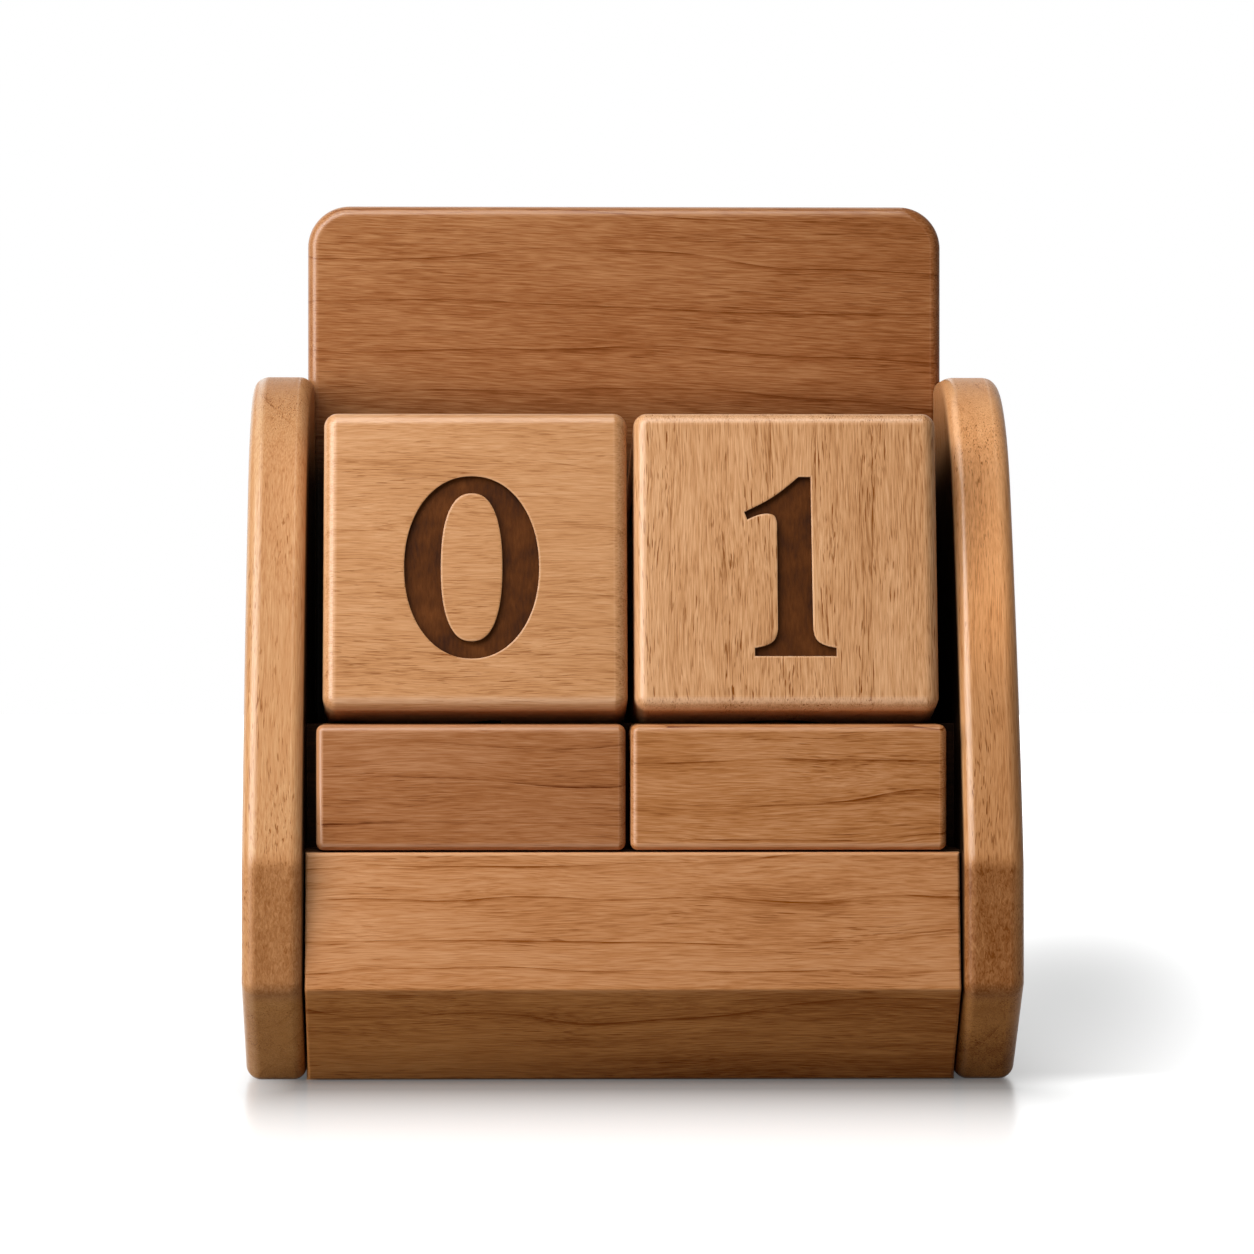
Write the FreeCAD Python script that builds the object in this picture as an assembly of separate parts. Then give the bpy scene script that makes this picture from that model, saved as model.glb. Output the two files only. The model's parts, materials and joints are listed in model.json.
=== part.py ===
import FreeCAD, Part
import math
import os

# Perpetual desk calendar of solid wood with a drawer under the date, in millimetres.
# X runs to the right, Y to the back and Z up. The origin is the middle of the footprint, on the table.
# Depths are measured backwards from the foremost line of the side panels, heights upwards from the table.

# Date cubes, which lean back on a sloping shelf
cube_size = 50.0
cube_round = 2.1
cube_lean = 11.0            # degrees from upright
cube_edge_depth = 7.4       # lower front edge of the cubes
cube_gap = 1.1              # between the two cubes
cube_left_space = 2.95      # left cube to left side panel
cube_right_space = 3.35
cube_back_space = 0.34      # upper rear edge to the back board
rest_gap = 0.05             # under a loose block that rests on a board

# Numerals engraved in the cubes
numeral_height = 30.6
numeral_drop = 1.3          # below the middle of the face
numeral_depth = 1.0

# Bars for the month and the weekday, in front of the cubes
bar_height = 20.5
bar_depth = 15.0
bar_round = 1.25
bar_front_depth = 5.0
bar_left_space = 2.0
bar_right_space = 2.4
bar_gap = 0.8
bar_overhang = 0.5          # the month bar is this much longer than a cube
bar_to_cube = 0.35          # upright, from the top of a bar to the underside of a cube
bar_to_riser = 0.4

# Boards of the case
board_thickness = 6.0       # base, ledge, shelf and front riser
rear_riser_thickness = 8.0
bay_height = 26.5           # room for the drawer between base and ledge

# Side panels
side_thickness = 10.0
side_rise = 7.2             # above the cubes
outer_round = 2.5
inner_round = 1.2
facet_top = 35.5            # upper end of the upright stretch above the chin
bend_radius = 6.0
slope_lean = 16.8           # degrees from upright, just above the bend
slope_radius = 364.0
shoulder_drop = 19.1        # height of the shoulder's round stretch
undercut_angle = 52.2       # degrees from upright
foot_setback = 20.6
chin_radius = 3.0
corner_radius = 3.0

# Back board, housed in a rebate of each side panel
back_thickness = 10.0
back_rise = 30.2            # above the side panels
back_round = 1.4
back_corner_radius = 8.0
rebate_depth = 1.3
rebate_play = 0.05

# Drawer
drawer_recess = 1.0         # chin of the drawer front behind the foremost line of the sides
drawer_chin_height = 16.0
drawer_top_setback = 3.6    # upper edge behind the chin
drawer_foot_reveal = 2.3    # foot of the drawer front ahead of the side panels' foot
drawer_foot_flat = 2.0
drawer_floor_gap = 0.3
drawer_front_ease = 0.5
drawer_side_gap = 0.3       # between the drawer front and a side panel
drawer_top_gap = 0.3        # between the drawer front and what lies over it
lip_thickness = 4.0         # upper edge of the drawer front, which covers the ledge
lip_gap = 0.4
box_thickness = 5.0         # sides and back of the drawer box
box_side_gap = 0.5
box_floor_gap = 0.3
box_top_gap = 1.2
box_back_gap = 2.0
box_edge_round = 0.8
bottom_thickness = 3.0
bottom_rise = 1.5           # under the bottom panel, above the lower edge of the box
groove_depth = 2.0
groove_play = 0.05

# Dowels
case_dowel_diameter = 4.0
case_dowel_length = 16.0
case_dowel_in_side = 6.0
case_dowel_front_inset = 10.0   # behind the front edge of base and ledge
case_dowel_rear_inset = 12.0
shelf_dowel_front_inset = 12.0
shelf_dowel_rear_inset = 14.0
back_dowel_length = 14.0
back_dowel_in_board = 6.0
back_dowel_end_inset = 15.0     # from the ends of base and ledge
box_dowel_diameter = 3.0
box_dowel_length = 14.0
box_dowel_in_front = 7.0
box_dowel_low_inset = 9.0       # above the lower edge of the drawer box
box_dowel_high_inset = 5.0
dowel_play = 0.05           # round the dowel, on its radius
dowel_end_play = 0.5
cutter_overrun = 1.0        # by which a cutter reaches past the wood

# Levels and places that follow
lean = math.radians(cube_lean)
inner_width = cube_left_space + 2 * cube_size + cube_gap + cube_right_space
inner_x = inner_width / 2
cube_rear = cube_edge_depth + cube_size * (math.cos(lean) + math.sin(lean))
cube_round_cut = cube_round * (math.cos(lean) + math.sin(lean) - 1)
back_front = cube_rear - cube_round_cut + cube_back_space
overall_depth = back_front + back_thickness
bay_top = board_thickness + bay_height
ledge_top = bay_top + board_thickness
bar_bottom = ledge_top + rest_gap
bar_top = bar_bottom + bar_height
bar_rear = bar_front_depth + bar_depth
cube_edge_height = bar_top + bar_to_cube + (bar_rear - bar_round - cube_edge_depth) * math.tan(lean)
cube_top = cube_edge_height + cube_size * math.cos(lean)
side_height = cube_top + side_rise
back_height = side_height + back_rise
riser_front = bar_rear + bar_to_riser
foot_depth = foot_setback - drawer_foot_reveal
front_rear = foot_depth + drawer_foot_flat
lip_front = drawer_recess + drawer_top_setback
ledge_front = lip_front + lip_thickness + lip_gap
base_front = front_rear + lip_gap
box_bottom = board_thickness + box_floor_gap
box_top = bay_top - box_top_gap
box_rear = back_front - box_back_gap
box_x = inner_x - box_side_gap
panel_bottom = box_bottom + bottom_rise
panel_top = panel_bottom + bottom_thickness


def at(depth, height, x=0.0):
    """The point at a depth behind the foremost line, a height above the table and a place across."""
    return FreeCAD.Vector(x, depth - overall_depth / 2, height)


def across(face, x_from, x_to):
    """The solid that a face seen from the side makes when it runs across from one place to another."""
    moved = face.translated(FreeCAD.Vector(x_from, 0, 0))
    return moved.extrude(FreeCAD.Vector(x_to - x_from, 0, 0))


def side_view(corners):
    """A face seen from the side, with straight edges between corners given as depth and height."""
    points = [at(depth, height) for depth, height in corners]
    return Part.Face(Part.makePolygon(points + points[:1]))


def board(x_from, x_to, depth_from, depth_to, height_from, height_to):
    """A plain square-cut board."""
    size = (x_to - x_from, depth_to - depth_from, height_to - height_from)
    return Part.makeBox(*size, at(depth_from, height_from, x_from))


def edges_at(solid, test):
    """The edges of a solid whose both ends and middle pass a test on a point."""
    chosen = []
    for edge in solid.Edges:
        middle = edge.valueAt((edge.FirstParameter + edge.LastParameter) / 2)
        points = [vertex.Point for vertex in edge.Vertexes] + [middle]
        if all(test(point) for point in points):
            chosen.append(edge)
    return chosen


def near(value, target):
    return abs(value - target) < 1e-4


# Dowels

def dowel(start, direction, diameter, length):
    return Part.makeCylinder(diameter / 2, length, start, direction)


def dowel_hole(start, direction, diameter, length):
    """The hole for a dowel: a little wider, and deeper at both ends for the glue."""
    step = FreeCAD.Vector(direction).multiply(dowel_end_play)
    return Part.makeCylinder(diameter / 2 + dowel_play, length + 2 * dowel_end_play, start - step, direction)


def case_dowels(hand, make):
    """The dowels that tie one side panel to base, ledge, shelf and front riser."""
    middle = board_thickness / 2
    riser_middle = riser_front + middle
    board_spots = [base_front + case_dowel_front_inset, back_front - case_dowel_rear_inset]
    shelf_spots = [riser_front + shelf_dowel_front_inset, back_front - shelf_dowel_rear_inset]
    spots = [(depth, height + middle) for height in (0, bay_top) for depth in board_spots]
    spots += [(depth, shelf_top(depth) - middle / math.cos(lean)) for depth in shelf_spots]
    spots += [(riser_middle, (ledge_top + shelf_underside(riser_middle)) / 2)]
    start_x = hand * (inner_x + case_dowel_in_side)
    direction = FreeCAD.Vector(-hand, 0, 0)
    return [make(at(depth, height, start_x), direction, case_dowel_diameter, case_dowel_length)
            for depth, height in spots]


def back_dowels(make):
    """The dowels from the back board into the rear edges of base and ledge."""
    reach = inner_x - back_dowel_end_inset
    start = back_front + back_dowel_in_board
    spots = [(x, height) for height in (board_thickness / 2, bay_top + board_thickness / 2)
             for x in (-reach, 0, reach)]
    return [make(at(start, height, x), FreeCAD.Vector(0, -1, 0), case_dowel_diameter, back_dowel_length)
            for x, height in spots]


def drawer_front_dowels(make):
    """Two dowels at each end of the drawer front, into the front ends of the drawer sides."""
    heights = (box_bottom + box_dowel_low_inset, box_top - box_dowel_high_inset)
    start = front_rear - box_dowel_in_front
    x = box_x - box_thickness / 2
    return [make(at(start, height, hand * x), FreeCAD.Vector(0, 1, 0), box_dowel_diameter, box_dowel_length)
            for hand in (-1, 1) for height in heights]


def drawer_back_dowels(make):
    """Two dowels through each drawer side into the drawer back, flush with the side."""
    heights = (box_bottom + box_dowel_low_inset, box_top - box_dowel_high_inset)
    depth = box_rear - box_thickness / 2
    return [make(at(depth, height, hand * box_x), FreeCAD.Vector(-hand, 0, 0), box_dowel_diameter, box_dowel_length)
            for hand in (-1, 1) for height in heights]


def cut_all(solid, tools):
    return solid.cut(Part.makeCompound(tools))


# Case

class Pen:
    """Draws an outline seen from the side: straight runs, and arcs that turn clockwise.

    The heading is in degrees clockwise from straight up, with the front of the object to the left.
    """

    def __init__(self, depth, height, heading):
        self.depth = depth
        self.height = height
        self.heading = heading
        self.edges = []

    def run_to(self, depth, height):
        self.edges.append(Part.makeLine(at(self.depth, self.height), at(depth, height)))
        self.depth = depth
        self.height = height

    def turn_to(self, heading, radius):
        first = math.radians(self.heading)
        last = math.radians(heading)
        centre_depth = self.depth + radius * math.cos(first)
        centre_height = self.height - radius * math.sin(first)

        def on_arc(angle):
            return centre_depth - radius * math.cos(angle), centre_height + radius * math.sin(angle)

        middle = on_arc((first + last) / 2)
        end = on_arc(last)
        arc = Part.Arc(at(self.depth, self.height), at(*middle), at(*end))
        self.edges.append(arc.toShape())
        self.depth, self.height = end
        self.heading = heading

    def face(self):
        return Part.Face(Part.Wire(self.edges))


def side_outline():
    """Foot, undercut, round chin, upright facet, long slope, round shoulder, top and rear of a side panel."""
    undercut = math.radians(undercut_angle)
    chin_height = foot_setback / math.tan(undercut)
    chin_reach = chin_radius * math.tan(undercut / 2)
    foot_reach = corner_radius * math.tan((math.pi / 2 - undercut) / 2)
    bend_rise = bend_radius * math.sin(math.radians(slope_lean))
    slope_rise = side_height - shoulder_drop - facet_top - bend_rise
    slope_end = math.asin(math.sin(math.radians(slope_lean)) + slope_rise / slope_radius)
    shoulder_radius = shoulder_drop / (1 - math.sin(slope_end))
    pen = Pen(overall_depth - corner_radius, 0, -90)
    pen.run_to(foot_setback + foot_reach, 0)
    pen.turn_to(-undercut_angle, corner_radius)
    pen.run_to(chin_reach * math.sin(undercut), chin_height - chin_reach * math.cos(undercut))
    pen.turn_to(0, chin_radius)
    pen.run_to(0, facet_top)
    pen.turn_to(slope_lean, bend_radius)
    pen.turn_to(math.degrees(slope_end), slope_radius)
    pen.turn_to(90, shoulder_radius)
    pen.run_to(overall_depth - corner_radius, side_height)
    pen.turn_to(180, corner_radius)
    pen.run_to(overall_depth, corner_radius)
    pen.turn_to(270, corner_radius)
    return pen.face()


def side_panel(hand):
    inner = hand * inner_x
    outer = hand * (inner_x + side_thickness)
    panel = across(side_outline(), inner, outer)
    panel = panel.makeFillet(outer_round, edges_at(panel, lambda point: near(point.x, outer)))
    panel = panel.makeFillet(inner_round, edges_at(panel, lambda point: near(point.x, inner)))
    rebate_x = sorted((inner - hand * cutter_overrun, inner + hand * rebate_depth))
    rebate_depths = (back_front, overall_depth + cutter_overrun)
    rebate = board(*rebate_x, *rebate_depths, -cutter_overrun, side_height + cutter_overrun)
    return cut_all(panel, [rebate] + case_dowels(hand, dowel_hole))


def back_board():
    """An upright board with round upper corners, eased along its sides and its top."""
    half = inner_x + rebate_depth - rebate_play
    plank = board(-half, half, back_front, overall_depth, 0, back_height)
    upright = edges_at(plank, lambda point: near(abs(point.x), half) and near(point.z, back_height))
    plank = plank.makeFillet(back_corner_radius, upright)
    rims = [at(back_front, 0).y, at(overall_depth, 0).y]
    loops = edges_at(plank, lambda point: any(near(point.y, rim) for rim in rims))
    eased = [edge for edge in loops if not all(near(vertex.Z, 0) for vertex in edge.Vertexes)]
    return cut_all(plank.makeFillet(back_round, eased), back_dowels(dowel_hole))


def cross_board(depth_from, height_from):
    """A board between the side panels, from a front edge back to the back board."""
    plank = board(-inner_x, inner_x, depth_from, back_front, height_from, height_from + board_thickness)
    holes = case_dowels(-1, dowel_hole) + case_dowels(1, dowel_hole) + back_dowels(dowel_hole)
    return cut_all(plank, holes)


def shelf_top(depth):
    """Height of the sloping shelf, in the plane of the cubes' undersides."""
    return cube_edge_height - rest_gap / math.cos(lean) - (depth - cube_edge_depth) * math.tan(lean)


def shelf_underside(depth):
    return shelf_top(depth) - board_thickness / math.cos(lean)


def cube_shelf():
    """The sloping board under the cubes, cut upright at both ends."""
    corners = [(riser_front, shelf_top(riser_front)), (back_front, shelf_top(back_front))]
    corners += [(back_front, shelf_underside(back_front)), (riser_front, shelf_underside(riser_front))]
    shelf = across(side_view(corners), -inner_x, inner_x)
    return cut_all(shelf, case_dowels(-1, dowel_hole) + case_dowels(1, dowel_hole))


def shelf_riser(depth_from, thickness):
    """A board that stands on the ledge and carries the shelf, bevelled to its slope."""
    depth_to = depth_from + thickness
    corners = [(depth_from, ledge_top), (depth_to, ledge_top)]
    corners += [(depth_to, shelf_underside(depth_to)), (depth_from, shelf_underside(depth_from))]
    riser = across(side_view(corners), -inner_x, inner_x)
    return cut_all(riser, case_dowels(-1, dowel_hole) + case_dowels(1, dowel_hole))


# Drawer

def drawer_front():
    """The thick front: tilted face, chin, undercut that serves as the grip, and a lip over the ledge."""
    under_ledge = bay_top - drawer_top_gap
    lip_rear = lip_front + lip_thickness
    corners = [(lip_front, ledge_top - drawer_top_gap), (drawer_recess, drawer_chin_height)]
    corners += [(foot_depth, drawer_floor_gap), (front_rear, drawer_floor_gap), (front_rear, under_ledge)]
    corners += [(lip_rear, under_ledge), (lip_rear, ledge_top - drawer_top_gap)]
    half = inner_x - drawer_side_gap
    front = across(side_view(corners), -half, half)
    visible = [at(*corner) for corner in corners[:3]]

    def on_face(point):
        """True along the upper edge, the chin, the foot and the ends of the two visible faces."""
        for first, second in zip(visible, visible[1:]):
            run = second - first
            offset = FreeCAD.Vector(0, point.y, point.z) - first
            if run.cross(offset).Length < 1e-3 * run.Length and -1e-4 < offset.dot(run) < run.dot(run) + 1e-3:
                return True
        return False

    front = front.makeFillet(drawer_front_ease, edges_at(front, on_face))
    return cut_all(front, [bottom_panel(groove_play)] + drawer_front_dowels(dowel_hole))


def bottom_panel(play=0.0):
    """The bottom of the drawer, or with some play the room for it in front and sides."""
    half = box_x - box_thickness + groove_depth + play
    front = front_rear - groove_depth - play
    return board(-half, half, front, box_rear + play, panel_bottom - play, panel_top + play)


def drawer_side(hand):
    limits = sorted((hand * box_x, hand * (box_x - box_thickness)))
    side = board(*limits, front_rear, box_rear, box_bottom, box_top)
    side = side.makeFillet(box_edge_round, upper_long_edges(side, "y"))
    holes = drawer_front_dowels(dowel_hole) + drawer_back_dowels(dowel_hole)
    return cut_all(side, [bottom_panel(groove_play)] + holes)


def drawer_back():
    """The rear wall of the drawer, which stands on the bottom panel."""
    half = box_x - box_thickness
    back = board(-half, half, box_rear - box_thickness, box_rear, panel_top + groove_play, box_top)
    back = back.makeFillet(box_edge_round, upper_long_edges(back, "x"))
    return cut_all(back, drawer_back_dowels(dowel_hole))


def upper_long_edges(solid, along):
    """The two upper edges of a drawer wall that run along x or along y."""
    top = edges_at(solid, lambda point: near(point.z, box_top))
    return [edge for edge in top if abs(getattr(edge.tangentAt(edge.FirstParameter), along)) > 0.9]


# Numerals: each is drawn upright and 30.6 high about its middle, across x and up z, and cut in from the front.
# A stretch is the points from one corner of an outline to the next, and is curved when it has more than two.

drawn_height = 30.6

stretches_1 = [
    [(2.2, 15.2), (4.2, 15.2)],
    [(4.2, 15.2), (4.4, -10.4)],
    [(4.4, -10.4), (5.0, -12.2), (6.4, -13.1), (8.2, -13.5)],
    [(8.2, -13.5), (8.2, -14.9)],
    [(8.2, -14.9), (-5.2, -14.9)],
    [(-5.2, -14.9), (-5.2, -13.5)],
    [(-5.2, -13.5), (-3.4, -13.1), (-2.0, -12.2), (-1.4, -10.4)],
    [(-1.4, -10.4), (-1.4, 7.4)],
    [(-1.4, 7.4), (-1.9, 8.7), (-3.2, 9.0), (-6.3, 8.0)],
    [(-6.3, 8.0), (-6.8, 9.3)],
    [(-6.8, 9.3), (-2.4, 11.6), (2.2, 15.2)],
]
stretches_2 = [
    [(-10.0, -15.3), (8.9, -15.3)],
    [(8.9, -15.3), (10.4, -8.6)],
    [(10.4, -8.6), (9.3, -8.6)],
    [(9.3, -8.6), (8.2, -10.5), (5.4, -11.0)],
    [(5.4, -11.0), (-3.6, -11.0)],
    [(-3.6, -11.0), (2.6, -5.2), (7.6, 1.2), (9.1, 7.6), (6.6, 13.3), (0.4, 15.3), (-6.0, 13.0), (-9.4, 7.0)],
    [(-9.4, 7.0), (-8.3, 6.6)],
    [(-8.3, 6.6), (-5.6, 10.2), (-1.4, 11.9), (2.6, 10.2), (3.9, 6.0), (2.2, 0.2), (-2.8, -6.8), (-10.0, -14.2)],
    [(-10.0, -14.2), (-10.0, -15.3)],
]
stretches_3 = [
    [(-8.6, 8.6), (-5.4, 13.7), (0.2, 15.3), (5.8, 13.4), (7.9, 8.9), (6.0, 4.0), (2.6, 1.6)],
    [(2.6, 1.6), (7.2, -0.9), (9.3, -6.0), (7.0, -12.3), (0.0, -15.3), (-5.9, -14.9), (-9.3, -12.9)],
    [(-9.3, -12.9), (-8.6, -11.0)],
    [(-8.6, -11.0), (-4.6, -12.6), (0.0, -12.4), (3.5, -9.5), (4.2, -5.4), (2.0, -1.7), (-2.9, -0.6)],
    [(-2.9, -0.6), (-2.9, 0.6)],
    [(-2.9, 0.6), (1.4, 2.6), (3.4, 7.0), (2.4, 10.7), (-0.9, 12.3), (-4.6, 11.0), (-7.6, 8.0)],
    [(-7.6, 8.0), (-8.6, 8.6)],
]
stretches_5 = [
    [(-6.0, 15.2), (8.8, 15.2)],
    [(8.8, 15.2), (7.2, 11.2)],
    [(7.2, 11.2), (-4.6, 11.2)],
    [(-4.6, 11.2), (-5.6, 7.2)],
    [(-5.6, 7.2), (-0.4, 6.4), (6.2, 3.2), (9.3, -3.4), (7.2, -10.8), (0.8, -15.0), (-5.8, -15.0), (-9.3, -13.2)],
    [(-9.3, -13.2), (-8.5, -11.2)],
    [(-8.5, -11.2), (-4.6, -12.5), (-0.2, -12.1), (3.5, -9.0), (4.3, -4.0), (1.2, 0.6), (-4.2, 2.4), (-9.0, 2.8)],
    [(-9.0, 2.8), (-6.0, 15.2)],
]
stem_of_6 = [
    [(-9.3, -5.6), (-8.2, 3.2), (-3.6, 10.4), (7.4, 15.3)],
    [(7.4, 15.3), (7.8, 14.3)],
    [(7.8, 14.3), (1.6, 10.0), (-2.6, 4.6), (-4.5, -4.0)],
    [(-4.5, -4.0), (-9.3, -5.6)],
]
stretches_7 = [
    [(-9.4, 15.2), (10.0, 15.2)],
    [(10.0, 15.2), (10.0, 13.9)],
    [(10.0, 13.9), (4.2, 3.4), (1.0, -5.6), (-0.4, -15.3)],
    [(-0.4, -15.3), (-5.8, -15.3)],
    [(-5.8, -15.3), (-3.8, -6.4), (0.4, 2.2), (6.0, 10.8)],
    [(6.0, 10.8), (-5.2, 10.8)],
    [(-5.2, 10.8), (-7.8, 10.2), (-9.0, 7.6)],
    [(-9.0, 7.6), (-10.2, 7.6)],
    [(-10.2, 7.6), (-9.4, 15.2)],
]
corners_4 = [(6.0, 15.3), (3.4, 15.3), (-10.6, -5.4), (-10.6, -8.2), (1.2, -8.2), (1.2, -15.3)]
corners_4 += [(6.0, -15.3), (6.0, -8.2), (10.0, -8.2), (10.0, -4.9), (6.0, -4.9)]
opening_of_4 = [(1.2, -4.9), (1.2, 8.6), (-7.7, -4.9)]

# An oval is its middle across and up, half its width, half its height and its fullness.
ring_of_0 = (-0.6, 0, 11.1, 15.3, 2.1)
opening_of_0 = (-0.6, 0, 5.05, 12.4, 2.4)
bowl_of_6 = (0.4, -5.4, 9.8, 9.9)
opening_of_6 = (0.7, -5.4, 4.8, 7.6)
upper_bowl_of_8 = (0, 7.6, 8.3, 7.7)
lower_bowl_of_8 = (0, -6.8, 9.9, 8.5)
upper_opening_of_8 = (0, 7.9, 4.2, 5.6)
lower_opening_of_8 = (0, -6.9, 5.0, 6.0)


def raised(wire):
    """The cutter over an outline: from just before the face of the cube to the engraved floor."""
    face = Part.Face(wire.translated(FreeCAD.Vector(0, -cutter_overrun, 0)))
    return face.extrude(FreeCAD.Vector(0, cutter_overrun + numeral_depth, 0))


def drawn(points):
    scale = numeral_height / drawn_height
    return [FreeCAD.Vector(x * scale, 0, z * scale) for x, z in points]


def stroke(stretches):
    edges = []
    for stretch in stretches:
        points = drawn(stretch)
        if len(points) == 2:
            edges.append(Part.makeLine(*points))
        else:
            curve = Part.BSplineCurve()
            curve.interpolate(points)
            edges.append(curve.toShape())
    return raised(Part.Wire(edges))


def polygon(points):
    corners = drawn(points)
    return raised(Part.makePolygon(corners + corners[:1]))


def oval(x, z, half_width, half_height, power=2.0):
    """A closed oval, the power above 2 making its sides fuller than an ellipse's."""
    points = []
    steps = 24
    for step in range(steps):
        angle = 2 * math.pi * step / steps
        reach_x = math.copysign(abs(math.cos(angle)) ** (2 / power), math.cos(angle))
        reach_z = math.copysign(abs(math.sin(angle)) ** (2 / power), math.sin(angle))
        points.append((x + half_width * reach_x, z + half_height * reach_z))
    curve = Part.BSplineCurve()
    curve.interpolate(drawn(points), PeriodicFlag=True)
    return raised(Part.Wire([curve.toShape()]))


def numeral(digit):
    if digit == 0:
        return oval(*ring_of_0).cut(oval(*opening_of_0))
    if digit == 4:
        return polygon(corners_4).cut(polygon(opening_of_4))
    if digit == 6:
        body = oval(*bowl_of_6).fuse(stroke(stem_of_6))
        return body.removeSplitter().cut(oval(*opening_of_6))
    if digit == 8:
        body = oval(*upper_bowl_of_8).fuse(oval(*lower_bowl_of_8))
        return body.removeSplitter().cut(oval(*upper_opening_of_8)).cut(oval(*lower_opening_of_8))
    return stroke({1: stretches_1, 2: stretches_2, 3: stretches_3, 5: stretches_5, 7: stretches_7}[digit])


# Loose blocks

def block(size_x, size_y, size_z, radius):
    plain = Part.makeBox(size_x, size_y, size_z)
    return plain.makeFillet(radius, plain.Edges)


def date_cube(x_from, digits):
    """A cube with six numerals, in the order front, right, rear, left, top and underside."""
    cube = block(cube_size, cube_size, cube_size, cube_round)
    middle = FreeCAD.Vector(cube_size / 2, cube_size / 2, cube_size / 2)
    turns = [("z", 0), ("z", 90), ("z", 180), ("z", 270), ("x", -90), ("x", 90)]
    axes = {"x": FreeCAD.Vector(1, 0, 0), "z": FreeCAD.Vector(0, 0, 1)}
    cutters = []
    for digit, (axis, angle) in zip(digits, turns):
        cutter = numeral(digit).translated(FreeCAD.Vector(cube_size / 2, 0, cube_size / 2 - numeral_drop))
        cutter.rotate(middle, axes[axis], angle)
        cutters.append(cutter)
    cube = cut_all(cube, cutters)
    cube.rotate(FreeCAD.Vector(0, 0, 0), axes["x"], -cube_lean)
    return cube.translated(at(cube_edge_depth, cube_edge_height, x_from))


def text_bar(x_from, length):
    """A plain bar that stands on the ledge in front of the cubes."""
    return block(length, bar_depth, bar_height, bar_round).translated(at(bar_front_depth, bar_bottom, x_from))


# All the pieces, each under its name

first_cube_x = -inner_x + cube_left_space
second_cube_x = first_cube_x + cube_size + cube_gap
month_bar_x = -inner_x + bar_left_space
month_bar_length = cube_size + bar_overhang
weekday_bar_x = month_bar_x + month_bar_length + bar_gap
weekday_bar_length = inner_x - bar_right_space - weekday_bar_x

pieces = {
    "left_side_panel": side_panel(-1),
    "right_side_panel": side_panel(1),
    "back_board": back_board(),
    "base_board": cross_board(base_front, 0),
    "ledge_board": cross_board(ledge_front, bay_top),
    "cube_shelf": cube_shelf(),
    "shelf_front_riser": shelf_riser(riser_front, board_thickness),
    "shelf_rear_riser": shelf_riser(back_front - rear_riser_thickness, rear_riser_thickness),
    "left_case_dowels": Part.makeCompound(case_dowels(-1, dowel)),
    "right_case_dowels": Part.makeCompound(case_dowels(1, dowel)),
    "back_board_dowels": Part.makeCompound(back_dowels(dowel)),
    "drawer_front": drawer_front(),
    "drawer_left_side": drawer_side(-1),
    "drawer_right_side": drawer_side(1),
    "drawer_back": drawer_back(),
    "drawer_bottom": bottom_panel(),
    "drawer_front_dowels": Part.makeCompound(drawer_front_dowels(dowel)),
    "drawer_back_dowels": Part.makeCompound(drawer_back_dowels(dowel)),
    "tens_cube": date_cube(first_cube_x, (0, 3, 5, 4, 2, 1)),
    "ones_cube": date_cube(second_cube_x, (1, 6, 8, 7, 2, 0)),
    "month_bar": text_bar(month_bar_x, month_bar_length),
    "weekday_bar": text_bar(weekday_bar_x, weekday_bar_length),
}

os.makedirs("parts", exist_ok=True)
for name, shape in pieces.items():
    shape.exportStep("parts/" + name + ".step")
    box = shape.BoundBox
    print(f"{name:20s} solids {len(shape.Solids)} valid {shape.isValid()} volume {shape.Volume:9.1f}"
          f"  x {box.XMin:7.2f} {box.XMax:7.2f}  y {box.YMin:7.2f} {box.YMax:7.2f}  z {box.ZMin:7.2f} {box.ZMax:7.2f}")
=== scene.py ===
# %% [markdown]
# # A wooden desk calendar with a drawer
# The real thing is a small case of oiled hardwood. Two thick side panels hold a tall back board, two loose
# cubes with engraved numerals lean against it, two plain bars stand in front of the cubes, and a drawer
# slides under them. The measured solids come from the imported model. This script gives them their looks.
# It starts by loading that model.

# %% Load the imported model
import json
import math
import bmesh
import bpy
import numpy as np
from mathutils import Matrix, Vector, geometry


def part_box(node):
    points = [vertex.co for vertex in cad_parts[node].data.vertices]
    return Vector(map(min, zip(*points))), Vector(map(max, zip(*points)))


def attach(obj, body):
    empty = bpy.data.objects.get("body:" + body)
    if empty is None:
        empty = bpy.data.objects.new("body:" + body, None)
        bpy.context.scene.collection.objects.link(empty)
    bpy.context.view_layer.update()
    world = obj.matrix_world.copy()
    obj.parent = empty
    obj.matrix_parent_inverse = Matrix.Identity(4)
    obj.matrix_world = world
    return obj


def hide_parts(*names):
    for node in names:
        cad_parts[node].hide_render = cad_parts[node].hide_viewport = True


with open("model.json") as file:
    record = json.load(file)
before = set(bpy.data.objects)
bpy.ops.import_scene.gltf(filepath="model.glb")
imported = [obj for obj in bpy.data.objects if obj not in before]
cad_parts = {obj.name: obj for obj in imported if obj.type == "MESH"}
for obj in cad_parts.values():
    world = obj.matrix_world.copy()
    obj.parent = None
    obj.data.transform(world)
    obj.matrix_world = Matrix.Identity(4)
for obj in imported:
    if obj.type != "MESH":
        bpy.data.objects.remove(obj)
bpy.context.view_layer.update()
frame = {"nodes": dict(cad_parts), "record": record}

# %% [markdown]
# ## Places and measures
# A carpenter measures this case from its foremost line, so a depth here is the distance behind that line and
# a height is above the table, both in millimetres. Blender works in metres. One number turns the first into
# the second, and the places of whole pieces are read from the model, so nothing has to be fitted by eye.

# %% Millimetres, depths and boxes
mm = 0.001
front_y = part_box("left_side_panel")[0].y / mm


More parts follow.
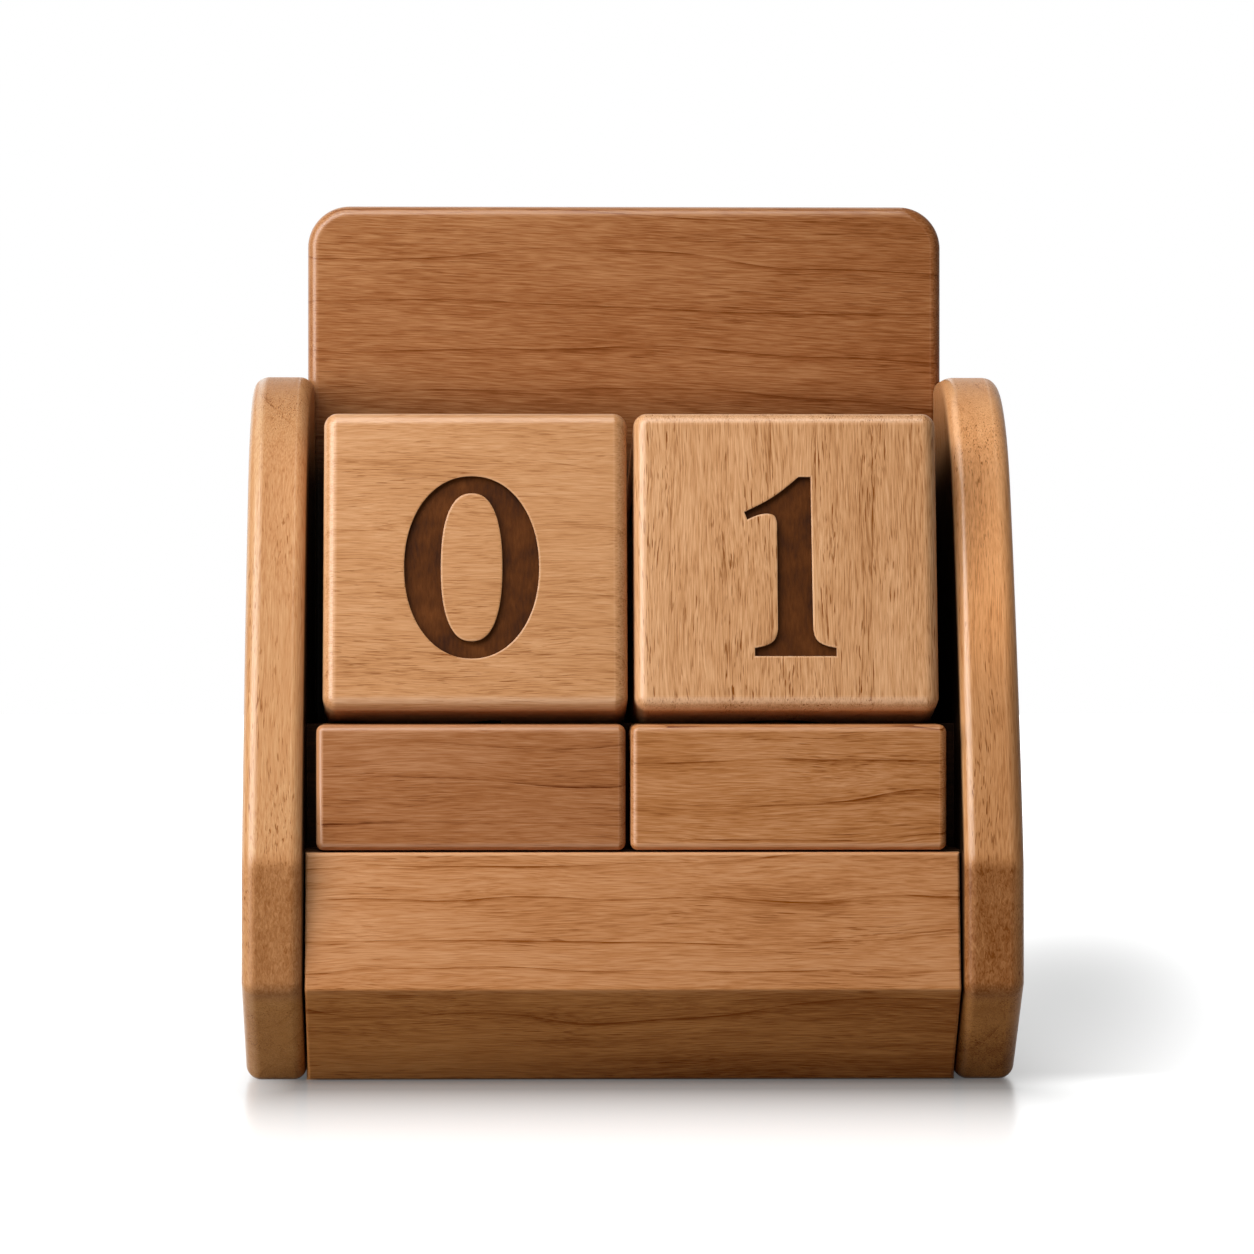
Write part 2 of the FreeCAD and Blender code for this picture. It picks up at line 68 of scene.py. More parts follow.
def box_of(node):
    """The lowest and highest corner of a solid, in millimetres."""
    low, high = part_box(node)
    return np.array(low) / mm, np.array(high) / mm


panel_low, panel_high = box_of("right_side_panel")
board_low, board_high = box_of("back_board")
inner_x, outer_x, side_height = panel_low[0], panel_high[0], panel_high[2]
overall_depth, back_front = board_high[1] - front_y, board_low[1] - front_y
cube_lean = math.radians(11.0)
print("inside half width", round(inner_x, 2), "side height", round(side_height, 2),
      "depth", round(overall_depth, 2))

# %% [markdown]
# ## Shader sums as plain sums
# A material in Blender is a web of nodes, and a sum of two patterns is a Math node between them. Placing
# those by hand is slow to read, so a small class stands for "a number that changes over the surface".
# Adding or multiplying two of them writes the Math node. A second class holds the material or the room being
# made and has one method for every other kind of node.

# %% A number on a surface, and a material or room being made
class Wire:
    """A number that changes over a surface. A sum, difference, product or power of wires is a Math node."""

    def __init__(self, recipe, socket):
        self.recipe = recipe
        self.socket = socket

    def math(self, operation, first, second=0.0):
        return self.recipe.node("ShaderNodeMath", {"operation": operation}, {0: first, 1: second})

    def __add__(self, other):
        return self.math("ADD", self, other)

    def __sub__(self, other):
        return self.math("SUBTRACT", self, other)

    def __rsub__(self, other):
        return self.math("SUBTRACT", other, self)

    def __mul__(self, other):
        return self.math("MULTIPLY", self, other)

    def __pow__(self, other):
        return self.math("POWER", self, other)

    __radd__ = __add__
    __rmul__ = __mul__


class Recipe:
    """A material or a room under construction."""

    def __init__(self, owner):
        self.owner = owner
        self.owner.use_nodes = True
        self.tree = self.owner.node_tree
        self.tree.nodes.clear()

    def node(self, kind, settings=(), inputs=(), output=0):
        """A node of that kind: its settings first, then a value or a wire for each socket that is named."""
        made = self.tree.nodes.new(kind)
        for name, value in dict(settings).items():
            if name == "stops":
                ramp = made.color_ramp.elements
                while len(ramp) < len(value):
                    ramp.new(0.5)
                for stop, (position, colour) in zip(ramp, value):
                    stop.position = position
                    stop.color = (*colour, 1.0)
            else:
                setattr(made, name, value)
        for name, value in dict(inputs).items():
            if isinstance(value, Wire):
                self.tree.links.new(value.socket, made.inputs[name])
            else:
                made.inputs[name].default_value = value
        return Wire(self, made.outputs[output]) if made.outputs else None

    def smooth_step(self, value, low, high):
        """0 where the value is below low, 1 above high, and an S-curve between."""
        limits = {"Value": value, "From Min": low, "From Max": high}
        return self.node("ShaderNodeMapRange", {"interpolation_type": "SMOOTHSTEP"}, limits)

    def mapped(self, vector, **inputs):
        """Places measured from a location, along turned axes and in units of a scale."""
        return self.node("ShaderNodeMapping", {"vector_type": "TEXTURE"}, {"Vector": vector, **inputs})

    def end_with(self, inputs):
        """The finished material: one Principled shader with those inputs."""
        shader = self.node("ShaderNodeBsdfPrincipled", {}, inputs)
        self.node("ShaderNodeOutputMaterial", {}, {"Surface": shader})
        return self.owner


def linear(colour):
    """A colour, given from 0 to 255, as the linear light values that Blender works with."""
    value = np.array(colour) / 255
    return tuple(np.where(value <= 0.04045, value / 12.92, ((value + 0.055) / 1.055) ** 2.4).tolist())


print("shader helpers ready")

# %% [markdown]
# ## Oiled hardwood
# Seen close, this wood has four layers: broad light and dark zones along the grain, thin darker lines where
# the year rings meet the surface, fine fibres, and short dark pores. A photograph of wood would repeat and
# would not turn the corner, so all four are worked out in space. Every pattern is stretched along the grain,
# and the rings are circles round a pith outside the board, so faces, edges and ends agree with each other.
# A slow wobble bends everything together. The pores and lines also press a little into the surface.
#
# Some places of a board differ from the rest, and most of these are painted light and shade. The undercut is
# painted darker and yellower as shade. The stretch above it shows end grain with a darker tone that is painted
# shade. The faces round the cubes are painted almost black as the shade in the gaps. An edge carries a painted
# highlight, a zone is painted lighter to lift a shadow, and a board can darken along its grain as a painted
# falloff of the light. The rims are polished with wax: a clear coat, whose place comes from a number on each
# face of the mesh, and which also lightens the colour there as a painted highlight.

# %% The wood recipe
along_x = (0.0, 0.0, 0.0)
along_y = (0.0, 0.0, math.pi / 2)
# Painted shade: the tint that darkens and yellows the undercut.
undercut_painted_shade_tint = (1.03, 0.98, 0.72, 1.0)
# Painted shade: the near-black on the faces round the cubes, fading out between two heights.
gap_painted_shade = (0.014, 0.007, 0.003, 1.0)
shade_fades_from, shade_ends_at = 98.0, 121.0
facet_fades_from, facet_ends_at = front_y + 26.0, front_y + 36.0


def wood(name, dark, middle, light, centre, turn=along_x, seed=0, pith=(-60.0, 25.0), ring=5.0, lines=0.5,
         sharpness=16.0, clouds=0.7, streaks=0.4, fibres=1.1, pores=0.3, pore_size=(6.0, 0.24), wobble=1.6,
         fade=0.0, roughness=0.3, gloss=0.05, chin=None, facet=None, cut=0.26, inner_face=None, worn=None,
         pale=None):
    """Wood with its grain along the turned X axis. The pith is given across the grain, in millimetres.

    The tone runs from 0, dark, over 0.5 to 1, light, and every layer adds to it or takes from it. The fade is a
    painted falloff of the light: how much the tone sinks over 100 millimetres along the grain. Below the height
    of the chin the wood is painted darker and yellower as shade. From there up to the height of the facet, a
    front edge shows end grain with the darker tone of the cut, which is painted shade. A face in painted shade
    is given by its axis and place, and it is painted almost black up to the cubes' tops. An edge with a painted
    highlight is given by its axis, where it starts and where it is palest. A zone of painted light is given by
    its height, its half width and how much lighter it is. The wax also lightens the tone, as a painted
    highlight.
    """
    recipe = Recipe(bpy.data.materials.new(name))
    shift = np.array([seed * 0.137, seed * 0.071, seed * 0.053])
    spot = np.array(centre) * mm
    raw = recipe.node("ShaderNodeTexCoord", output="Object")

    def placed(vector, size, offset):
        return recipe.mapped(vector, Location=spot + offset, Rotation=turn, Scale=np.array(size) * mm)

    def noise(vector, length, width, detail=2.0, offset=shift, output="Fac"):
        inputs = {"Vector": placed(vector, (length, width, width), offset), "Scale": 1.0, "Detail": detail}
        return recipe.node("ShaderNodeTexNoise", {}, inputs, output)

    sway = noise(raw, 38.0, 11.0, 1.0, -shift, "Color")
    sway = recipe.node("ShaderNodeVectorMath", {"operation": "SUBTRACT"}, {0: sway, 1: (0.5, 0.5, 0.5)})
    sway = recipe.node("ShaderNodeVectorMath", {"operation": "SCALE"}, {0: sway, "Scale": 2 * wobble * mm})
    bent = recipe.node("ShaderNodeVectorMath", {"operation": "ADD"}, {0: raw, 1: sway})

    # The year rings: the distance from the pith, in ring widths, whose fraction jumps once a year.
    in_wood = placed(bent, (1.0, 1.0, 1.0), np.zeros(3))
    along, first, second = (recipe.node("ShaderNodeSeparateXYZ", {}, {0: in_wood}, axis) - offset
                            for axis, offset in zip("XYZ", (0.0, *pith)))
    radius = (first * first + second * second) ** 0.5
    fine = noise(bent, 4.4, 0.2, 4.0)
    medium = noise(bent, 20.0, 1.0)
    year = radius * (1 / ring) + noise(bent, 90.0, 16.0) * 1.6
    late_wood = year.math("FRACT", year) ** sharpness
    late_wood = late_wood * (0.3 + 0.7 * recipe.smooth_step(noise(bent, 20.0, 3.0), 0.36, 0.62))
    pore = recipe.smooth_step(noise(bent, *pore_size, 1.0, -shift), 0.60, 0.70)
    pore = pore * (0.3 + 0.7 * recipe.smooth_step(noise(bent, 30.0, 5.0, 1.0, -shift), 0.44, 0.62))

    slow = clouds * (noise(bent, 60.0, 14.0, 1.0) - 0.5) + clouds * (noise(bent, 30.0, 4.0) - 0.5)
    # Painted shade: the tone sinks along the grain, a painted falloff of the light.
    tone = 0.58 + slow - (fade / 100) * along + streaks * (medium - 0.5) + fibres * (fine - 0.5)
    tone = tone - lines * late_wood - pores * pore

    # The places that differ, in millimetres from the middle, from the front and from the table.
    side, depth, height = (recipe.node("ShaderNodeSeparateXYZ", {}, {0: raw}, axis) * (1 / mm)
                           for axis in "XYZ")
    away_from_middle = side.math("ABSOLUTE", side)
    wax = recipe.node("ShaderNodeAttribute", {"attribute_name": "wax"}, output="Fac")
    # On the facet, the end-grain specks are real. The darker tone of the cut is painted shade.
    if facet is not None:
        edge = 1.0 - recipe.smooth_step(away_from_middle, outer_x - 2.5, outer_x - 0.3)
        edge = edge * (1.0 - recipe.smooth_step(depth, facet_fades_from, facet_ends_at))
        above = recipe.smooth_step(height, facet - 1.5, facet + 2.5)
        end_grain_and_painted_shade = edge * (1.0 - above) * recipe.smooth_step(height, chin - 1.5, chin + 1.0)
        tone = tone + end_grain_and_painted_shade * (cut + end_grain(recipe, raw) - tone)
        wax = wax * (0.25 + 0.75 * above)
    # Painted shade on the undercut: below the chin the tone sinks and the colour takes the undercut's tint.
    if chin is not None:
        below = 1.0 - recipe.smooth_step(height, chin - 1.5, chin + 1.0)
        if facet is not None:
            below = below * edge
        tone = tone - (0.2 if facet is None else 0.1) * below
    # Painted highlight: the wax lightens the tone.
    tone = tone + 0.3 * wax
    # A painted highlight along one edge: the tone rises towards it.
    if worn is not None:
        tone = tone + 0.6 * recipe.smooth_step({"X": side, "Z": height}[worn[0]], worn[1], worn[2])
    stops = [(0.0, linear(dark)), (0.5, linear(middle)), (1.0, linear(light))]
    colour = recipe.node("ShaderNodeValToRGB", {"stops": stops}, {"Fac": tone})
    if chin is not None:
        settings = {"data_type": "RGBA", "blend_type": "MULTIPLY"}
        colour = recipe.node("ShaderNodeMix", settings, {0: below, 6: colour, 7: undercut_painted_shade_tint}, 2)
    # Painted light: the colour is scaled up in a zone at one height, except on the inner face.
    if pale is not None:
        zone_height, half_width, gain = pale
        away = height - zone_height
        zone = 1.0 - recipe.smooth_step(away.math("ABSOLUTE", away), 0.3 * half_width, half_width)
        zone = zone * recipe.smooth_step(away_from_middle, inner_x, inner_x + 1.5)
        inputs = {0: colour, "Scale": 1.0 + gain * zone}
        colour = recipe.node("ShaderNodeVectorMath", {"operation": "SCALE"}, inputs)
    # Painted shade: the face round the cubes is painted almost black up to their tops.
    if inner_face is not None:
        across, place = {"X": away_from_middle, "Y": depth}[inner_face[0]], inner_face[1]
        within = 1.0 - recipe.smooth_step(across, place + 0.05, place + 0.4)
        within = within * (1.0 - recipe.smooth_step(height, shade_fades_from, shade_ends_at))
        colour = recipe.node("ShaderNodeMix", {"data_type": "RGBA"}, {0: within, 6: colour, 7: gap_painted_shade}, 2)

    # The fibres stand up, the pores and the year lines lie low.
    relief = fine - 0.8 * pore - 0.5 * late_wood
    normal = recipe.node("ShaderNodeBump", {}, {"Height": relief, "Strength": 0.5, "Distance": 0.1 * mm})
    inputs = {"Base Color": colour, "Roughness": roughness + 0.25 * pore, "Normal": normal,
              "Specular IOR Level": gloss, "Coat Weight": wax, "Coat Roughness": 0.2}
    return recipe.end_with(inputs)


def end_grain(recipe, raw):
    """Lighter and darker specks, short and a little upright, where a saw has cut across the fibres."""
    tall = recipe.mapped(raw, Scale=(1.0, 1.0, 2.2))
    inputs = {"Vector": tall, "Scale": 2200.0, "Detail": 3.0, "Distortion": 1.2}
    specks = recipe.node("ShaderNodeTexNoise", {}, inputs)
    cloud = recipe.node("ShaderNodeTexNoise", {}, {"Vector": tall, "Scale": 400.0, "Detail": 2.0})
    return 0.8 * (specks - 0.5) + 0.3 * (cloud - 0.5)


def stain(name, dark, middle, light):
    """The dark stain in the numerals: cloudy, with brush marks that run down."""
    recipe = Recipe(bpy.data.materials.new(name))
    raw = recipe.node("ShaderNodeTexCoord", output="Object")

    def noise(width, height, detail):
        place = recipe.mapped(raw, Scale=(width * mm, width * mm, height * mm))
        return recipe.node("ShaderNodeTexNoise", {}, {"Vector": place, "Scale": 1.0, "Detail": detail})

    tone = 0.5 + 1.3 * (noise(5.0, 6.0, 2.0) - 0.5) + 0.7 * (noise(0.5, 2.5, 3.0) - 0.5)
    stops = [(0.0, linear(dark)), (0.5, linear(middle)), (1.0, linear(light))]
    colour = recipe.node("ShaderNodeValToRGB", {"stops": stops}, {"Fac": tone})
    inputs = {"Height": noise(0.3, 0.9, 2.0), "Strength": 0.4, "Distance": 0.1 * mm}
    normal = recipe.node("ShaderNodeBump", {}, inputs)
    return recipe.end_with({"Base Color": colour, "Roughness": 0.6, "Normal": normal,
                            "Specular IOR Level": 0.1})


print("wood recipe ready")

# %% [markdown]
# ## The boards that each piece was cut from
# The pieces come from different boards: the back board and the bars are the darkest, the cubes the lightest.
# The grain runs across on the boards, the bars, the drawer front and the tens cube, and upright on the side
# panels and the ones cube. A maker would pick the pieces like this, with the grain along the longer side.
# A row of the table holds the finish's name, its dark, middle and light colour from 0 to 255, the way of the
# grain, a seed, and what else differs from the recipe's plain board.

# %% One finish for each piece
cube_turn = Matrix.Rotation(-cube_lean, 3, "X")
upright = Matrix.Rotation(-math.pi / 2, 3, "Y")
along_cube = tuple(cube_turn.to_euler())
up_the_cube = tuple((cube_turn @ upright).to_euler())
up_the_slope = tuple((Matrix.Rotation(math.radians(-21.0), 3, "X") @ upright).to_euler())
centre_of = {node: box_of(node)[0] / 2 + box_of(node)[1] / 2 for node in frame["nodes"]}

drawer_top, bar_left = box_of("drawer_front")[1][2], box_of("month_bar")[0][0]
panel_traits = dict(ring=7.0, lines=0.2, clouds=0.35, streaks=0.25, fibres=1.0, pores=0.5,
                    pore_size=(3.0, 0.22), chin=15.0, facet=36.5, inner_face=("X", inner_x))

# Some rows add painted light and shade: lighter zones and edges as painted light, and darker faces, cut ends
# and a falloff along the grain as painted shade.
looks = {
    "left_side_panel": (
        "left_panel_oiled", (130, 76, 32), (184, 130, 84), (209, 163, 116), up_the_slope, 1,
        dict(pith=(30.0, -48.0), pale=(46.0, 34.0, 0.06), **panel_traits)),
    "right_side_panel": (
        "right_panel_oiled", (122, 66, 20), (190, 132, 83), (216, 163, 114), up_the_slope, 12,
        dict(pith=(-34.0, 52.0), fade=-0.2, cut=0.15, pale=(92.0, 32.0, 0.5), **panel_traits)),
    "back_board": (
        "back_board_oiled", (115, 60, 19), (151, 94, 53), (180, 126, 82), (0.0, 0.035, 0.0), 3,
        dict(pith=(-30.0, -160.0), ring=8.0, lines=0.8, sharpness=26.0, clouds=0.5, streaks=0.35, fibres=1.7,
             fade=0.2, wobble=0.4, inner_face=("Y", back_front + front_y))),
    "drawer_front": (
        "drawer_front_oiled", (128, 66, 14), (185, 125, 78), (211, 156, 111), along_x, 4,
        dict(pith=(-26.0, -60.0), ring=5.6, lines=0.75, sharpness=24.0, clouds=0.5, wobble=2.0, fade=0.15,
             chin=16.0, worn=("Z", drawer_top - 0.7, drawer_top - 0.2))),
    "month_bar": (
        "month_bar_oiled", (98, 44, 10), (158, 99, 57), (185, 129, 88), along_x, 5,
        dict(pith=(-30.0, 70.0), ring=6.0, lines=0.65, sharpness=20.0, fibres=1.3,
             worn=("X", bar_left + 1.3, bar_left + 0.6))),
    "weekday_bar": (
        "weekday_bar_oiled", (120, 60, 14), (176, 115, 66), (205, 147, 101), along_x, 6,
        dict(pith=(30.0, -50.0), ring=4.6, lines=0.8, sharpness=18.0, fibres=1.4, wobble=1.8)),
    "tens_cube": (
        "tens_cube_oiled", (132, 74, 32), (193, 138, 91), (217, 166, 122), along_cube, 7,
        dict(pith=(-60.0, -70.0), ring=9.0, lines=0.25, clouds=0.4, pores=0.28, pore_size=(3.4, 0.22))),
    "ones_cube": (
        "ones_cube_oiled", (130, 72, 24), (200, 146, 99), (227, 176, 131), up_the_cube, 8,
        dict(pith=(-50.0, 60.0), ring=7.0, lines=0.35, clouds=0.4, fibres=1.5, pores=0.6,
             pore_size=(3.6, 0.24))),
}
finishes = {node: wood(*look[:4], centre_of[node], *look[4:6], **look[6]) for node, look in looks.items()}
stained = stain("numerals_stained", (32, 9, 0), (76, 37, 3), (102, 55, 17))
print("finishes:", ", ".join(finishes))

# %% [markdown]
# ## From arrays to pieces
# Every visible piece here is a surface worked out as an array of points. One helper turns such an array into
# a Blender object, welds the seams, points all faces outwards and shades them smoothly up to an edge of 32
# degrees. The Weighted Normal modifier then keeps the broad faces flat, so that only the rounded rims bend the
# light. The piece takes the place of its plain solid and moves with the same body. The same helper stores the
# wax, but not on faces that look to the right, away from the lamps. The wax also lightens the colour, so this
# keeps a painted highlight on the rims that face the lamps.

# %% Making and finishing a piece
bodies = frame["record"]["behaviour"]["bodies"]
body_of_node = {node: body for body, nodes in bodies.items() for node in nodes}
slot_of_node = {"left_side_panel": "panel_wood", "right_side_panel": "panel_wood", "back_board": "back_wood"}
weld_distance, sharp_angle = 0.0005 * mm, math.radians(32)


def grid_faces(rows, columns, closed):
    """The four corners of each cell of a grid, going round the rows once more if the grid is closed."""
    row, column = np.meshgrid(np.arange(rows if closed else rows - 1), np.arange(columns - 1), indexing="ij")
    here = (row * columns + column).ravel()
    ahead = ((row + 1) % rows * columns + column).ravel()
    return np.column_stack([here, ahead, ahead + 1, here + 1])


def make_mesh(name, points, faces, in_second_material=None, wax=None):
    """A welded mesh with outward faces, from points in millimetres.

    The wax is a number from 0 to 1 per face, also a painted highlight, and stays off faces that turn right.
    """
    mesh = bpy.data.meshes.new(name)
    mesh.from_pydata((np.asarray(points) * mm).tolist(), [], [list(map(int, face)) for face in faces])
    if wax is not None:
        mesh.attributes.new("wax", "FLOAT", "FACE").data.foreach_set("value", np.asarray(wax, dtype=np.float32))
    if in_second_material is not None:
        mesh.polygons.foreach_set("material_index", np.asarray(in_second_material, dtype=np.int32))
    skin = bmesh.new()
    skin.from_mesh(mesh)
    loose = [vertex for vertex in skin.verts if not vertex.link_faces]
    bmesh.ops.delete(skin, geom=loose, context="VERTS")
    bmesh.ops.remove_doubles(skin, verts=skin.verts, dist=weld_distance)
    bmesh.ops.recalc_face_normals(skin, faces=skin.faces)
    skin.to_mesh(mesh)
    skin.free()
    if wax is not None:
        normals, on_face = np.empty(3 * len(mesh.polygons)), np.empty(len(mesh.polygons))
        mesh.polygons.foreach_get("normal", normals)
        mesh.attributes["wax"].data.foreach_get("value", on_face)
        mesh.attributes["wax"].data.foreach_set("value", on_face * (normals[::3] < 0.1))
    return mesh


def add_object(name, mesh):
    """An object with that mesh, placed in the scene."""
    piece = bpy.data.objects.new(name, mesh)
    bpy.context.scene.collection.objects.link(piece)
    return piece


def finish_piece(piece, node, *materials):
    """Smooth shading, the finish, and the place in the model of a piece that stands for a solid."""
    for material in materials:
        piece.data.materials.append(material)
    piece.data.shade_smooth()
    piece.data.set_sharp_from_angle(angle=sharp_angle)
    shading = piece.modifiers.new("flat faces stay flat", "WEIGHTED_NORMAL")
    shading.weight = 100
    shading.keep_sharp = True
    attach(piece, body_of_node[node])
    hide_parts(node)
    slot_of_node.get(node, node + "_wood")
    print(piece.name, "stands for", node, "with", len(piece.data.polygons), "faces")


print("bodies:", sorted(set(body_of_node.values())))

# %% [markdown]
# ## Boards with rounded rims
# A side panel is sawn to an outline and then its rims are rounded with a router. That is also how it is worked
# out here. The outline is a row of points, each with the heading in which a router would pass it, clockwise.
# The section across the board says how far each line of the surface lies inside that outline. Every point
# is then an outline point moved to the right of its heading by the inset: a function of two parameters.
# A cloth leaves the wax on a rim in two stripes, one near each face, and rubs it off the crest between them.
# The stripes are also painted lighter, as a painted highlight.

# %% Outlines, rims and slabs
def arcs(*runs):
    """Rows of (u, v, heading) round clockwise arcs, each given as centre, radius, first and last heading.

    A heading is an angle clockwise from straight up. The point is the centre plus the radius times
    (minus the cosine, the sine) of the heading, and straight runs join the arcs.
    """
    rows = []
    for (u, v), radius, first, last in runs:
        steps = max(4, int(abs(last - first) / 5), int(radius * math.radians(abs(last - first)) / 1.6))
        heading = np.radians(np.linspace(first, last, steps + 1))
        rows.append(np.column_stack([u - radius * np.cos(heading), v + radius * np.sin(heading), heading]))
    return np.vstack(rows)


def waxed(angle):
    """How much wax and painted highlight a rim has, turned from a face by the angle a: the size of sin 4a."""
    return np.abs(np.sin(4 * angle))


def rims(low, high, low_round, high_round, steps=12):
    """Rows of (inset, place across, wax): the inset is r(1 - cos a), the way to the face r(1 - sin a)."""
    angle = np.linspace(0, math.pi / 2, steps + 1)
    inset, reach = 1 - np.cos(angle), 1 - np.sin(angle)
    lower = np.column_stack([low_round * inset, low + low_round * reach, waxed(angle)])
    upper = np.column_stack([high_round * inset, high - high_round * reach, waxed(angle)])
    return np.vstack([lower[::-1], upper])


def slab(outline, section, closed):
    """Points (u, v, w), faces and their wax: each outline point is moved in by the section's inset."""
    u, v, heading = (column[:, None] for column in outline.T)
    inset, w, wax = (column[None, :] for column in section.T)
    grid = np.stack(np.broadcast_arrays(u + inset * np.cos(heading), v - inset * np.sin(heading), w), axis=-1)
    rows, columns = grid.shape[:2]
    index = np.arange(rows * columns).reshape(rows, columns)
    cells = grid_faces(rows, columns, closed)
    wax = np.tile((wax[0, 1:] + wax[0, :-1]) / 2, len(cells) // (columns - 1))
    faces = [*cells, index[:, 0], index[:, -1]]
    if not closed:
        faces.append(np.concatenate([index[0], index[-1, ::-1]]))
    return grid.reshape(-1, 3), faces, np.pad(wax, (0, len(faces) - len(cells)))


print("slab helper ready")

# %% [markdown]
# ## Side panels
# Seen from the side, a panel has a foot set well back, an undercut that rises to a crisp chin, an upright
# stretch, a bend, one long and slightly bulging slope, and a round shoulder. All of that is a chain of arcs.
# The outer rim is rounder than the inner one. The back board sits in a rebate, which is cut with a Boolean,
# the way a rebate plane would take it out of the finished panel.

# %% Side panels
outer_round, inner_round = 2.5, 2.2
facet_top, bend_radius, slope_lean, slope_radius, shoulder_drop = 35.5, 6.0, 16.8, 364.0, 19.1
undercut, foot_setback, chin_radius, corner_radius = math.radians(52.2), 20.6, 3.0, 3.0
rebate_x = inner_x + 1.3


def arc_end(centre, radius, first, last):
    """The end of a clockwise arc."""
    heading = math.radians(last)
    return centre[0] - radius * math.cos(heading), centre[1] + radius * math.sin(heading)


def turning_from(point, radius, first, last):
    """The clockwise arc that starts at a point: its centre lies to the right of the first heading."""
    heading = math.radians(first)
    return (point[0] + radius * math.cos(heading), point[1] - radius * math.sin(heading)), radius, first, last


bend_rise = bend_radius * math.sin(math.radians(slope_lean))
slope_rise = side_height - shoulder_drop - facet_top - bend_rise
slope_end = math.degrees(math.asin(math.sin(math.radians(slope_lean)) + slope_rise / slope_radius))
shoulder_radius = shoulder_drop / (1 - math.sin(math.radians(slope_end)))
foot_reach = corner_radius * math.tan((math.pi / 2 - undercut) / 2)
chin_top = foot_setback / math.tan(undercut) + chin_radius * math.tan(undercut / 2)
foot = (foot_setback + foot_reach, corner_radius), corner_radius, -90, -math.degrees(undercut)
chin = (chin_radius, chin_top), chin_radius, -math.degrees(undercut), 0
bend = (bend_radius, facet_top), bend_radius, 0, slope_lean
slope = turning_from(arc_end(*bend), slope_radius, slope_lean, slope_end)
shoulder = turning_from(arc_end(*slope), shoulder_radius, slope_end, 90)
rear_top = (overall_depth - corner_radius, side_height - corner_radius), corner_radius, 90, 180
rear_foot = (overall_depth - corner_radius, corner_radius), corner_radius, 180, 270
side_outline = arcs(foot, chin, bend, slope, shoulder, rear_top, rear_foot)
print("side outline of", len(side_outline), "points, shoulder radius", round(shoulder_radius, 1))


def cut_away(piece, x_limits, depth_limits, z_limits):
    """Takes a box out of a piece with a Boolean, and keeps only the result."""
    corners = [(x, depth + front_y, z) for x in x_limits for depth in depth_limits for z in z_limits]
    sides = [(0, 1, 3, 2), (4, 6, 7, 5), (0, 4, 5, 1), (2, 3, 7, 6), (0, 2, 6, 4), (1, 5, 7, 3)]
    cutter = add_object("cutter", make_mesh("cutter", corners, sides))
    boolean = piece.modifiers.new("rebate", "BOOLEAN")
    boolean.operation = "DIFFERENCE"
    boolean.solver = "EXACT"
    boolean.object = cutter
    carved = piece.evaluated_get(bpy.context.evaluated_depsgraph_get())
    piece.data = bpy.data.meshes.new_from_object(carved)
    piece.modifiers.clear()
    bpy.data.objects.remove(cutter)


for side, hand in (("left", -1), ("right", 1)):
    points, faces, wax = slab(side_outline, rims(inner_x, outer_x, inner_round, outer_round), closed=True)
    points = np.column_stack([hand * points[:, 2], points[:, 0] + front_y, points[:, 1]])
    panel = add_object(side + "_panel_shaped", make_mesh(side + "_panel_shaped", points, faces, wax=wax))
    rebate = sorted((hand * (inner_x - 1), hand * rebate_x))
    cut_away(panel, rebate, (back_front, overall_depth + 1), (-1, side_height + 1))
    finish_piece(panel, side + "_side_panel", finishes[side + "_side_panel"])

# %% [markdown]
# ## Back board
# The back board is a plain upright board with two round upper corners and lightly eased rims. Its foot is
# square, because it stands behind the drawer down to the table. The outline is open at the foot: it goes up the
# left edge, over the top and down the right edge, and one flat face closes the foot.

# %% Back board
board_corner, board_round = 7.2, 1.9
outline = arcs(((board_low[0] + board_corner, board_high[2] - board_corner), board_corner, 0, 90),
               ((board_high[0] - board_corner, board_high[2] - board_corner), board_corner, 90, 180))
ends = np.array([[board_low[0], 0, 0], [board_high[0], 0, math.pi]])
outline = np.vstack([ends[:1], outline, ends[1:]])
points, faces, wax = slab(outline, rims(board_low[1], board_high[1], board_round, board_round), closed=False)
points = points[:, [0, 2, 1]]
back_board = add_object("back_board_rounded", make_mesh("back_board_rounded", points, faces, wax=wax))
finish_piece(back_board, "back_board", finishes["back_board"])

# %% [markdown]
# ## Blocks with rounded edges
# The bars and the cubes are sanded round on all edges and corners. Rounding a cube with a Bevel modifier works
# too, but a formula keeps every corner a true eighth of a ball: each point is a corner of a smaller inner box,
# plus the radius times a unit direction. Over one face the direction is (tan a, tan b, 1) made one long, with
# both angles from -45 to 45 degrees, so six such faces meet without a gap. The wax follows the same rule as on
# the rims, with the angle between that direction and the face's own.

